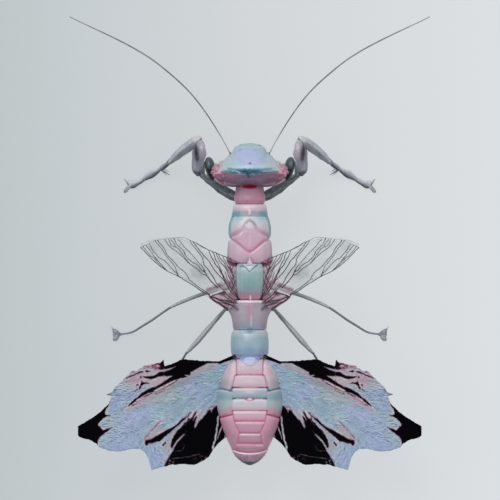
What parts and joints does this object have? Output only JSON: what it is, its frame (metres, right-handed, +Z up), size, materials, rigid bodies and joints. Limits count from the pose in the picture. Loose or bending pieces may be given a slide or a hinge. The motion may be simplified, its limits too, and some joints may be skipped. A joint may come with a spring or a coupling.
{
  "type": "orchid mantis",
  "caption": "Standing mantis with all wings spread, a plated pink and teal body, clear veined forewings and ragged blue and black hindwings.",
  "frame": {"origin": "centre of the overall box seen from above, on the floor under the feet", "axes": "+Z up, +Y towards the head and the antenna tips, +X to the animal's right"},
  "size_m": [0.0716, 0.0905, 0.0212],
  "materials": {
    "pink_shell": "satin chitin, dusty pink with paler front edges and crimson seams",
    "teal_shell": "satin chitin, pale teal to lavender grey",
    "head_shell": "satin chitin, lavender crown with a pale teal rim and a dark teal band",
    "eye": "glossy faceted grey green",
    "mouth": "satin mauve",
    "feeler": "matt grey",
    "limb": "satin grey, darker towards the body",
    "clear_wing": "clear membrane with brown veins",
    "painted_wing": "matt blue lavender with velvety black patches"
  },
  "bodies": {
    "root": {"head": "head_shell", "mouthparts": "mouth", "neck": "pink_shell", "prothorax_collar": "pink_shell", "prothorax_shield": "pink_shell", "prothorax_rear": "pink_shell", "metathorax": "pink_shell", "abdomen_front": "pink_shell", "abdomen_rear": "pink_shell", "abdomen_tip": "pink_shell", "mesothorax": "teal_shell", "abdomen_waist": "teal_shell", "abdomen_middle": "teal_shell", "eye_right": "eye", "eye_left": "eye", "palp_right": "mouth", "palp_left": "mouth", "antenna_right": "feeler", "antenna_left": "feeler", "cercus_right": "limb", "cercus_left": "limb", "foreleg_coxa_right": "limb", "foreleg_coxa_left": "limb", "foreleg_femur_right": "limb", "foreleg_femur_left": "limb", "foreleg_tibia_right": "limb", "foreleg_tibia_left": "limb", "foreleg_tarsus_right": "limb", "foreleg_tarsus_left": "limb", "midleg_coxa_right": "limb", "midleg_coxa_left": "limb", "midleg_femur_right": "limb", "midleg_femur_left": "limb", "midleg_tibia_right": "limb", "midleg_tibia_left": "limb", "midleg_tarsus_right": "limb", "midleg_tarsus_left": "limb", "hindleg_coxa_right": "limb", "hindleg_coxa_left": "limb", "hindleg_femur_right": "limb", "hindleg_femur_left": "limb", "hindleg_tibia_right": "limb", "hindleg_tibia_left": "limb", "hindleg_tarsus_right": "limb", "hindleg_tarsus_left": "limb", "forewing_right": "clear_wing", "forewing_left": "clear_wing", "hindwing_right": "painted_wing", "hindwing_left": "painted_wing"}
  },
  "joints": []
}
